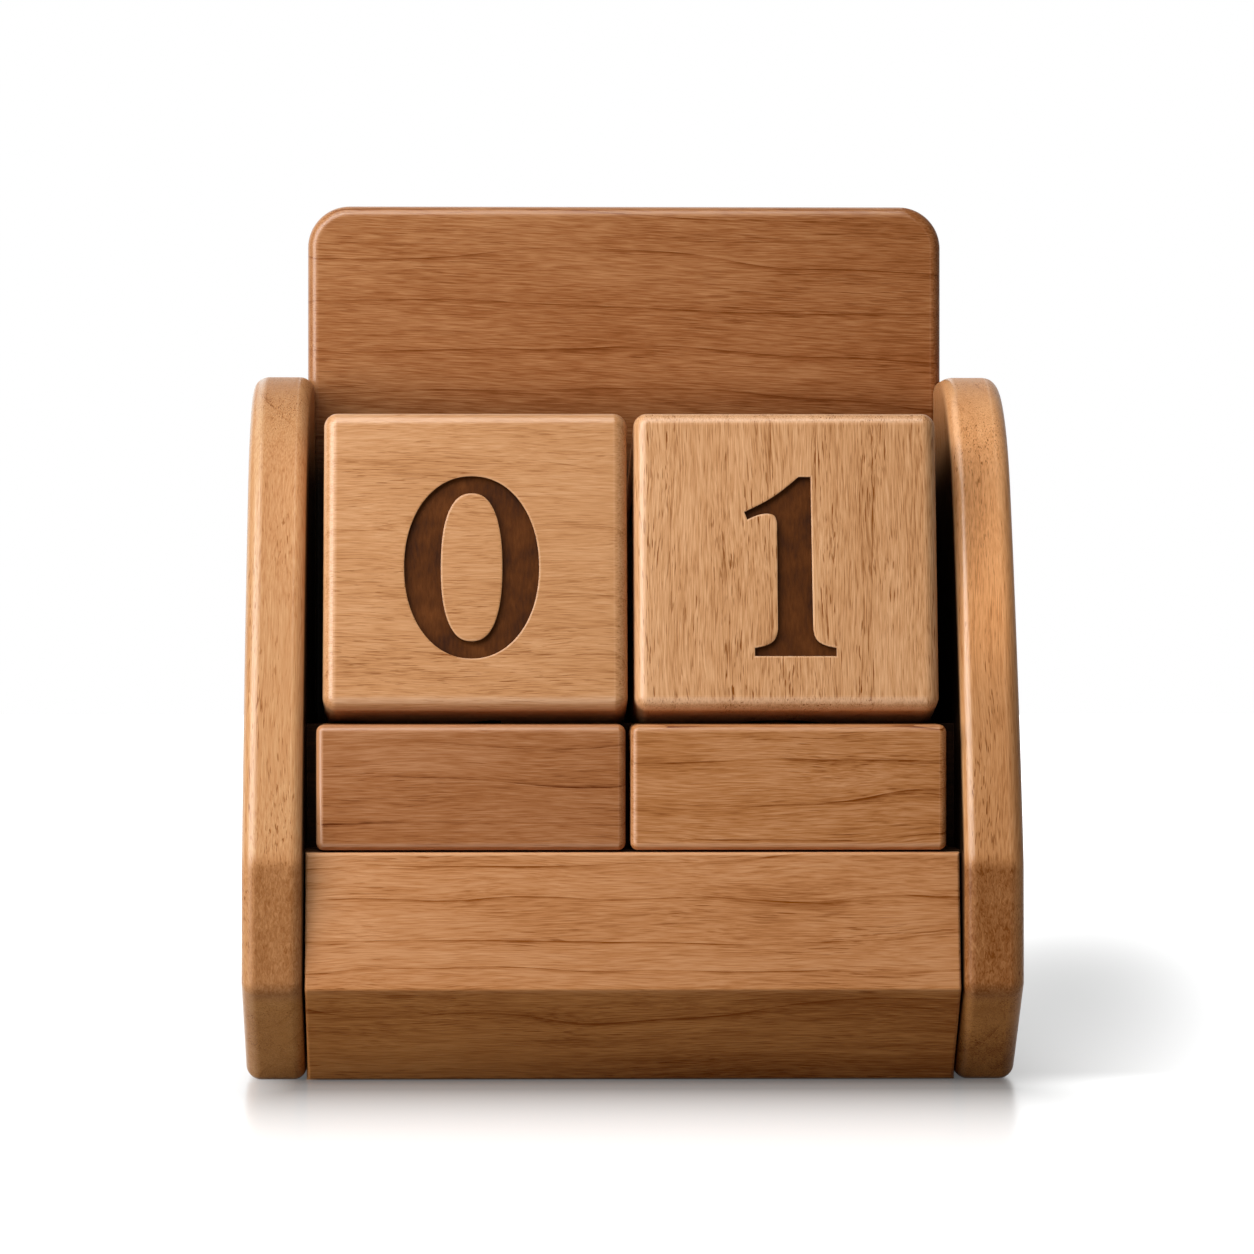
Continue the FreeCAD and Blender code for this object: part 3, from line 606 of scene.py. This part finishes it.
# %% Rounded blocks
def rounded_block(half_size, radius, steps=6):
    """Points, faces and wax of a block about its middle without its six flats, and those flats apart."""
    inner = np.array(half_size) - radius
    angle = np.radians(np.concatenate([np.linspace(-45, 0, steps + 1), np.linspace(0, 45, steps + 1)]))
    side = np.repeat([-1.0, 1.0], steps + 1)
    count = len(angle)
    cells = grid_faces(count, count, closed=False)
    middle = steps * (count - 1) + steps
    points, faces, flats, wax = [], [], [], []
    for axis in range(3):
        first, second = (axis + 1) % 3, (axis + 2) % 3
        for sign in (-1.0, 1.0):
            direction, corner = np.empty((count, count, 3)), np.empty((count, count, 3))
            direction[..., axis], direction[..., first] = sign, np.tan(angle)[:, None]
            direction[..., second] = np.tan(angle)[None, :]
            corner[..., axis], corner[..., first], corner[..., second] = sign, side[:, None], side[None, :]
            direction /= np.linalg.norm(direction, axis=-1, keepdims=True)
            start = len(points) * count * count
            points.append((corner * inner + radius * direction).reshape(-1, 3))
            faces.append(np.delete(cells, middle, axis=0) + start)
            flats.append(cells[middle] + start)
            turned = np.arccos(np.abs(direction[..., axis]).clip(math.cos(math.pi / 4), 1))
            wax.append(waxed(turned).ravel()[np.delete(cells, middle, axis=0)].mean(axis=1))
    return np.vstack(points), np.vstack(faces), np.concatenate(wax), np.array(flats)


bar_round = 1.25
for node in ("month_bar", "weekday_bar"):
    low, high = box_of(node)
    points, faces, wax, flats = rounded_block((high - low) / 2, bar_round)
    mesh = make_mesh(node + "_sanded", points + (low + high) / 2, [*faces, *flats],
                     wax=np.pad(wax, (0, len(flats))))
    finish_piece(add_object(node + "_sanded", mesh), node, finishes[node])

# %% [markdown]
# ## Numerals
# The numerals are in a bold old-style letter, cut 1 mm deep and stained dark. Each outline is a loop of
# stretches, and each stretch starts where the one before ends. One more point makes a straight edge, more of
# them a smooth curve. A font would bring another maker's drawing with it, so these are drawn for this part,
# 30.6 mm high about their middle.

# %% Outlines of the numerals
strokes = {
    1: [[(4.2, 15.2)], [(4.4, -10.4)], [(5.0, -12.2), (6.4, -13.1), (8.2, -13.5)], [(8.2, -14.9)],
        [(-5.2, -14.9)], [(-5.2, -13.5)], [(-3.4, -13.1), (-2.0, -12.2), (-1.4, -10.4)], [(-1.4, 7.4)],
        [(-1.9, 8.7), (-3.2, 9.0), (-6.3, 8.0)], [(-6.8, 9.3)], [(-2.4, 11.6), (2.2, 15.2)]],
    2: [[(8.9, -15.3)], [(10.4, -8.6)], [(9.3, -8.6)], [(8.2, -10.5), (5.4, -11.0)], [(-3.6, -11.0)],
        [(2.6, -5.2), (7.6, 1.2), (9.1, 7.6), (6.6, 13.3), (0.4, 15.3), (-6.0, 13.0), (-9.4, 7.0)],
        [(-8.3, 6.6)],
        [(-5.6, 10.2), (-1.4, 11.9), (2.6, 10.2), (3.9, 6.0), (2.2, 0.2), (-2.8, -6.8), (-10.0, -14.2)],
        [(-10.0, -15.3)]],
    3: [[(-5.4, 13.7), (0.2, 15.3), (5.8, 13.4), (7.9, 8.9), (6.0, 4.0), (2.6, 1.6)],
        [(7.2, -0.9), (9.3, -6.0), (7.0, -12.3), (0.0, -15.3), (-5.9, -14.9), (-9.3, -12.9)],
        [(-8.6, -11.0)], [(-4.6, -12.6), (0.0, -12.4), (3.5, -9.5), (4.2, -5.4), (2.0, -1.7), (-2.9, -0.6)],
        [(-2.9, 0.6)], [(1.4, 2.6), (3.4, 7.0), (2.4, 10.7), (-0.9, 12.3), (-4.6, 11.0), (-7.6, 8.0)],
        [(-8.6, 8.6)]],
    5: [[(8.8, 15.2)], [(7.2, 11.2)], [(-4.6, 11.2)], [(-5.6, 7.2)],
        [(-0.4, 6.4), (6.2, 3.2), (9.3, -3.4), (7.2, -10.8), (0.8, -15.0), (-5.8, -15.0), (-9.3, -13.2)],
        [(-8.5, -11.2)],
        [(-4.6, -12.5), (-0.2, -12.1), (3.5, -9.0), (4.3, -4.0), (1.2, 0.6), (-4.2, 2.4), (-9.0, 2.8)],
        [(-6.0, 15.2)]],
    6: [[(-8.2, 3.2), (-3.6, 10.4), (7.4, 15.3)], [(7.8, 14.3)], [(1.6, 10.0), (-2.6, 4.6), (-4.5, -4.0)],
        [(-9.3, -5.6)]],
    7: [[(10.0, 15.2)], [(10.0, 13.9)], [(4.2, 3.4), (1.0, -5.6), (-0.4, -15.3)], [(-5.8, -15.3)],
        [(-3.8, -6.4), (0.4, 2.2), (6.0, 10.8)], [(-5.2, 10.8)], [(-7.8, 10.2), (-9.0, 7.6)], [(-10.2, 7.6)],
        [(-9.4, 15.2)]],
}
curve_step = 0.45


def smooth_curve(points):
    """A natural cubic spline through the points, over the length of the chords between them."""
    points = np.array(points, float)
    if len(points) == 2:
        return points
    span = np.linalg.norm(np.diff(points, axis=0), axis=1)
    knot = np.concatenate([[0.0], np.cumsum(span)])
    inner = np.arange(1, len(points) - 1)
    system, right = np.eye(len(points)), np.zeros_like(points)
    system[inner, inner - 1], system[inner, inner + 1] = span[:-1], span[1:]
    system[inner, inner] = 2 * (span[:-1] + span[1:])
    right[inner] = 6 * np.diff(np.diff(points, axis=0) / span[:, None], axis=0)
    bending = np.linalg.solve(system, right)
    place = np.linspace(0, knot[-1], int(knot[-1] / curve_step) + 2)
    left = np.clip(np.searchsorted(knot, place, side="right") - 1, 0, len(span) - 1)
    ahead, behind, width = (row[:, None] for row in (knot[left + 1] - place, place - knot[left], span[left]))
    cubic = (bending[left] * ahead ** 3 + bending[left + 1] * behind ** 3) / (6 * width)
    start = (points[left] / width - bending[left] * width / 6) * ahead
    return cubic + start + (points[left + 1] / width - bending[left + 1] * width / 6) * behind


def stroke(digit):
    """The closed loop of a numeral's stretches, each without its last point, which starts the next one."""
    stretches = strokes[digit]
    starts = [stretch[-1] for stretch in (stretches[-1], *stretches)]
    return np.vstack([smooth_curve([start, *stretch])[:-1] for start, stretch in zip(starts, stretches)])


def oval(x, z, half_width, half_height, fullness=2.0):
    """An oval: the sine and cosine are raised to 2 / fullness, so above 2 its sides are fuller."""
    angle = np.linspace(0, 2 * math.pi, 96, endpoint=False)
    reach = [np.sign(part) * np.abs(part) ** (2 / fullness) for part in (np.cos(angle), np.sin(angle))]
    return np.column_stack([x + half_width * reach[0], z + half_height * reach[1]])


# Each numeral is the loops that are cut and the loops that stay standing inside them.
numerals = {digit: ([stroke(digit)], []) for digit in (1, 2, 3, 5, 7)}
numerals[0] = [oval(-0.6, 0, 11.1, 15.3, 2.1)], [oval(-0.6, 0, 5.05, 12.4, 2.4)]
numerals[4] = ([np.array([(6.0, 15.3), (3.4, 15.3), (-10.6, -5.4), (-10.6, -8.2), (1.2, -8.2), (1.2, -15.3),
                          (6.0, -15.3), (6.0, -8.2), (10.0, -8.2), (10.0, -4.9), (6.0, -4.9)])],
               [np.array([(1.2, -4.9), (1.2, 8.6), (-7.7, -4.9)])])
numerals[6] = [oval(0.4, -5.4, 9.8, 9.9), stroke(6)], [oval(0.7, -5.4, 4.8, 7.6)]
numerals[8] = ([oval(0, 7.6, 8.3, 7.7), oval(0, -6.8, 9.9, 8.5)],
               [oval(0, 7.9, 4.2, 5.6), oval(0, -6.9, 5.0, 6.0)])
print("numerals drawn:", sorted(numerals))

# %% [markdown]
# ## An engraved face
# A cutter leaves a flat floor, upright walls and a tiny bare lip along the edge, which catches the light. The
# face is one triangulation of the square with all the loops in it, each loop also in a copy moved out by the
# width of the lip. Every triangle is then face, lip or floor, by where its middle lies. Walls join lip and
# floor along the floor's border. A Boolean could cut this too, but here each part gets its own shape and
# finish: the lip keeps half of the wax, and floor and walls take the stain.

# %% Engraving
# The lip's share of the wax also lightens its colour, as a painted highlight.
lip_width, lip_depth, lip_wax, engraved_depth, numeral_drop = 0.3, 0.13, 0.5, 1.0, 1.3


def moved_out(loop, width):
    """The loop moved outwards: a corner goes along the sum of its sides' normals, over 1 plus their product."""
    side = np.roll(loop, -1, axis=0) - loop
    normal = np.column_stack([side[:, 1], -side[:, 0]]) / np.linalg.norm(side, axis=1, keepdims=True)
    area = np.sum(loop[:, 0] * side[:, 1] - loop[:, 1] * side[:, 0])
    normal = normal * np.sign(area)
    before = np.roll(normal, 1, axis=0)
    reach = np.maximum(1 + np.sum(normal * before, axis=1, keepdims=True), 0.5)
    return loop + width * (normal + before) / reach


def inside(points, loops):
    """For each point, whether a line to its right crosses any of the loops an odd number of times."""
    found = np.zeros(len(points), bool)
    x, z = (column[:, None] for column in points.T)
    for loop in loops:
        (x1, z1), (x2, z2) = loop.T, np.roll(loop, -1, axis=0).T
        crosses = (z1 > z) != (z2 > z)
        place = x1 + (z - z1) * (x2 - x1) / np.where(z1 == z2, 1.0, z2 - z1)
        found |= (crosses & (x < place)).sum(axis=1) % 2 == 1
    return found


def engraved_face(digit, half_flat):
    """Points (x, depth, z) and faces of a square with its numeral, and which faces are stained or waxed."""
    square = half_flat * np.array([(-1, -1), (1, -1), (1, 1), (-1, 1)])
    drop = np.array([0.0, -numeral_drop])
    cut, standing = ([loop + drop for loop in loops] for loops in numerals[digit])
    cut_lips = [moved_out(loop, lip_width) for loop in cut]
    standing_lips = [moved_out(loop, -lip_width) for loop in standing]
    loops = [square, *cut, *standing, *cut_lips, *standing_lips]
    starts = np.cumsum([0] + [len(loop) for loop in loops])
    sides = [(start + step, start + (step + 1) % len(loop))
             for start, loop in zip(starts.tolist(), loops) for step in range(len(loop))]
    given = [Vector(point) for point in np.vstack(loops).tolist()]
    flat, _, triangles, *_ = geometry.delaunay_2d_cdt(given, sides, [], 0, 1e-5)
    flat, triangles = np.array(flat), np.array(triangles)
    middle = flat[triangles].mean(axis=1)
    floor = inside(middle, cut) & ~inside(middle, standing)
    lip = inside(middle, cut_lips) & ~inside(middle, standing_lips) & ~floor
    count = len(flat)
    lowered = np.zeros(count, int)
    lowered[triangles[floor]] = 1
    levels = np.repeat([0.0, lip_depth, engraved_depth], count)
    points = np.column_stack([np.tile(flat[:, 0], 3), levels, np.tile(flat[:, 1], 3)])
    floor_sides = np.vstack([triangles[floor][:, pair] for pair in ([0, 1], [1, 2], [2, 0])])
    code = floor_sides[:, 0] * count + floor_sides[:, 1]
    border = floor_sides[~np.isin(code, floor_sides[:, 1] * count + floor_sides[:, 0])]
    walls = np.column_stack([border + count, border[:, ::-1] + 2 * count])
    bare = [triangles[~floor & ~lip], triangles[lip] + count * lowered[triangles[lip]]]
    bare_faces = np.vstack(bare).tolist()
    dark_faces = (triangles[floor] + 2 * count).tolist() + walls.tolist()
    stained = [0] * len(bare_faces) + [1] * len(dark_faces)
    wax = [0.0] * len(bare[0]) + [lip_wax] * len(bare[1]) + [0.0] * len(dark_faces)
    return points, bare_faces + dark_faces, stained, wax


test = engraved_face(0, half_flat=22.7)
print("a face with 0 has", len(test[1]), "faces,", sum(test[2]), "of them stained")

# %% [markdown]
# ## Date cubes
# Each cube has six numerals, so that the pair can show every day of a month. A face is engraved once per digit
# and then turned to its side of the cube with quarter turns. Last the whole cube leans back by 11 degrees, as
# it lies on the sloping shelf against the back board.

# %% Date cubes
cube_half, cube_round = 25.0, 2.3
quarter_turns = [((1, 0, 0), (0, 1, 0), (0, 0, 1)), ((0, -1, 0), (1, 0, 0), (0, 0, 1)),
                 ((-1, 0, 0), (0, -1, 0), (0, 0, 1)), ((0, 1, 0), (-1, 0, 0), (0, 0, 1)),
                 ((1, 0, 0), (0, 0, 1), (0, -1, 0)), ((1, 0, 0), (0, 0, -1), (0, 1, 0))]
cube_digits = {"tens_cube": (0, 3, 5, 4, 2, 1), "ones_cube": (1, 6, 8, 7, 2, 0)}
for node, digits in cube_digits.items():
    points, faces, wax, flats = rounded_block((cube_half,) * 3, cube_round)
    all_points, all_faces, all_stained, all_wax = [points], faces.tolist(), [0] * len(faces), wax.tolist()
    for digit, turn in zip(digits, quarter_turns):
        face_points, face_faces, face_stained, face_wax = engraved_face(digit, cube_half - cube_round)
        start = sum(map(len, all_points))
        all_points.append((face_points - (0, cube_half, 0)) @ np.array(turn).T)
        all_faces += [[start + corner for corner in face] for face in face_faces]
        all_stained += face_stained
        all_wax += face_wax
    leaning = np.vstack(all_points) @ np.array(cube_turn).T + centre_of[node]
    mesh = make_mesh(node + "_engraved", leaning, all_faces, all_stained, all_wax)
    finish_piece(add_object(node + "_engraved", mesh), node, finishes[node], stained)

# %% [markdown]
# ## The joinery behind
# The drawer front, the drawer box, the boards of the case and the dowels are square-cut and already have their
# exact shape in the model, so they only need a finish. The grain runs along each board. The ledge, the shelf
# and its risers are painted almost black, a painted shade, so that the gaps round the cubes look deep. The
# dowels are a paler wood, as bought ones are. A row of the table holds the last word of the finish's name, its
# colours, the way of the grain, the first seed, what else differs, and the pieces.

# %% Finishes of the plain boards
painted_shade_tones = ((30, 16, 6), (52, 30, 15), (74, 46, 26))
plain_tones = ((130, 80, 40), (186, 132, 84), (208, 160, 112))
dowel_tones = ((150, 112, 70), (206, 168, 122), (224, 192, 150))
plain_pieces = (
    ("oiled", plain_tones, along_x, 10, {}, ["base_board"]),
    # These boards are painted near-black as the shade in the gaps round the cubes.
    ("stained", painted_shade_tones, along_x, 11, {"roughness": 0.6, "gloss": 0.1},
     ["ledge_board", "cube_shelf", "shelf_front_riser", "shelf_rear_riser"]),
    ("oiled", plain_tones, along_x, 15, {}, ["drawer_back", "drawer_bottom"]),
    ("oiled", plain_tones, along_y, 20, {}, ["drawer_left_side", "drawer_right_side"]),
    ("plain", dowel_tones, along_x, 30, {"lines": 0.1}, ["left_case_dowels", "right_case_dowels"]),
    ("plain", dowel_tones, along_y, 32, {"lines": 0.1}, ["back_board_dowels", "drawer_front_dowels"]),
    ("plain", dowel_tones, along_x, 34, {"lines": 0.1}, ["drawer_back_dowels"]),
)
square_cut = ["drawer_front"]
for ending, tones, turn, seed, traits, nodes in plain_pieces:
    square_cut += nodes
    for number, node in enumerate(nodes):
        finishes[node] = wood(f"{node}_{ending}", *tones, centre_of[node], turn, seed + number, **traits)
for node in square_cut:
    for place in frame["nodes"][node].material_slots:
        place.material = finishes[node]
print("finished boards and dowels:", len(square_cut))

# %% [markdown]
# ## Studio
# The object stands on a white floor in a white room. The key lamp comes from the upper left. A tall one
# further round to the left draws the bright lines on the rounded left edges, over the highlight painted into
# the waxed rims, and a wide one higher up fills the fronts. The floor adds light of its own for the camera and
# for reflections. It glows least near the object, which paints a contact shadow there, and fully further away,
# so that it runs white into the background. A soft oval to the right of the object glows less too, as a painted
# shadow where the object's shadow would fall. The room is white for the same rays and nearly dark for the
# object, so that the lamps alone shape it.

# %% Floor, room and lamps
plinth_centre, plinth_half, depth_share = (0.003, 0.106, 0), (0.058, 0.144, 0), 0.3
shadow_oval = {"Location": (0.095, 0.22, 0), "Rotation": (0, 0, -0.12), "Scale": (0.069, 0.56, 1)}
near_reach, shadow_strength = 0.058, 0.78


def seen_directly(recipe):
    """1 for the camera, in reflections and through glass, and 0 for the light that falls on the object."""
    camera, glossy, through = (recipe.node("ShaderNodeLightPath", output=f"Is {kind} Ray")
                               for kind in ("Camera", "Glossy", "Transmission"))
    return camera.math("MINIMUM", camera + glossy + through, 1.0)


def white_floor():
    """White paint with a glow of 0.85 - 0.75 near^3 + 0.15 far, which is weaker within the shadow's oval.

    Near falls from 1 at the plinth, a rectangle under and behind the object, to 0 at its reach, and far rises
    a bit further out. Metres behind the plinth count less than those beside it.
    """
    recipe = Recipe(bpy.data.materials.new("floor_white"))
    raw = recipe.node("ShaderNodeTexCoord", output="Object")
    place = recipe.mapped(raw, Location=plinth_centre)
    for operation, value in (("ABSOLUTE", (0, 0, 0)), ("SUBTRACT", plinth_half), ("MAXIMUM", (0, 0, 0)),
                             ("MULTIPLY", (1, depth_share, 0))):
        place = recipe.node("ShaderNodeVectorMath", {"operation": operation}, {0: place, 1: value})
    beyond = recipe.node("ShaderNodeVectorMath", {"operation": "LENGTH"}, {0: place}, "Value")
    # Painted contact shadow: the glow sinks near the plinth, the rectangle under the object.
    near = 1.0 - beyond * (1 / near_reach)
    near = near.math("MAXIMUM", near, 0.0)
    glow = 0.85 - 0.75 * near ** 3.0 + 0.15 * recipe.smooth_step(beyond, 0.03, 0.08)

    # Painted shadow: the glow is weaker in the oval to the right, behind the front edge.
    place = recipe.mapped(raw, **shadow_oval)
    from_shadow = recipe.node("ShaderNodeVectorMath", {"operation": "LENGTH"}, {0: place}, "Value")
    behind = recipe.smooth_step(recipe.node("ShaderNodeSeparateXYZ", {}, {0: raw}, "Y"), -0.035, 0.0)
    glow = glow * (1.0 - shadow_strength * behind * (1.0 - recipe.smooth_step(from_shadow, 0.0, 1.0)))

    glow = glow * seen_directly(recipe)
    colour = recipe.node("ShaderNodeMix", {"data_type": "RGBA"}, {0: glow, 6: (0, 0, 0, 1), 7: (1, 1, 1, 1)}, 2)
    return recipe.end_with({"Base Color": (0.345, 0.35, 0.345, 1), "Roughness": 0.25,
                            "Emission Color": colour, "Emission Strength": 1.0})


floor_half = 4000.0
corners = [(x * floor_half, y * floor_half, 0) for x, y in ((-1, -1), (1, -1), (1, 1), (-1, 1))]
floor = add_object("floor", make_mesh("floor", corners, [(0, 1, 2, 3)]))
floor.data.materials.append(white_floor())

room = Recipe(bpy.data.worlds.new("white room"))
ambient, backdrop = (room.node("ShaderNodeBackground", {}, {"Color": (1, 1, 1, 1), "Strength": strength})
                     for strength in (0.06, 1.0))
either = room.node("ShaderNodeMixShader", {}, {0: seen_directly(room), 1: ambient, 2: backdrop})
room.node("ShaderNodeOutputWorld", {}, {"Surface": either})
bpy.context.scene.world = room.owner

middle_of_object = Vector((0, 0, 0.07))


def softbox(name, azimuth, elevation, distance, width, height, level):
    """A rectangular lamp that looks at the middle of the object, at an azimuth from the front to the left.

    A white face turned to it gets that level of white. A small lamp of P watts gives such a face
    P / (pi squared times the distance squared).
    """
    side, up = math.radians(azimuth), math.radians(elevation)
    away = Vector((-math.sin(side) * math.cos(up), -math.cos(side) * math.cos(up), math.sin(up)))
    lamp = bpy.data.lights.new(name, "AREA")
    lamp.shape = "RECTANGLE"
    lamp.size, lamp.size_y = width, height
    lamp.energy = level * (math.pi * distance) ** 2
    holder = bpy.data.objects.new(name, lamp)
    holder.location = middle_of_object + distance * away
    holder.rotation_mode = "QUATERNION"
    holder.rotation_quaternion = (-away).to_track_quat("-Z", "Y")
    bpy.context.scene.collection.objects.link(holder)
    print(name, "of", round(lamp.energy, 2), "watts")


softbox("key", azimuth=26, elevation=38, distance=0.60, width=0.30, height=0.30, level=0.335)
softbox("left", azimuth=55, elevation=17, distance=0.55, width=0.30, height=0.50, level=0.75)
softbox("top", azimuth=25, elevation=64, distance=0.70, width=0.50, height=0.50, level=0.40)

# %% [markdown]
# ## Camera
# The photograph was taken from nearly a metre away with a long lens, at half the height of the object and a
# little to its left: the inner face of the right panel shows, the left one doesn't. The lens and the place
# were worked out from the convergence of the drawer's edges. The camera only turns 1.3 degrees to the right to
# bring the object to the middle of the picture.

# %% Camera
picture, focal, aim_shift = 1254, 5846, 135
eye_left, eye_distance, eye_height = 0.023, 0.949, 0.075
lens = bpy.data.cameras.new("camera")
lens.sensor_width = 36.0
lens.lens = focal / picture * lens.sensor_width
camera = bpy.data.objects.new("camera", lens)
camera.location = (-eye_left, front_y * mm - eye_distance, eye_height)
camera.rotation_euler = (math.pi / 2, 0.0, -math.atan(aim_shift / focal))
bpy.context.scene.collection.objects.link(camera)
bpy.context.scene.camera = camera
bpy.context.scene.view_settings.view_transform = "Standard"
print("lens", round(lens.lens, 1), "mm")
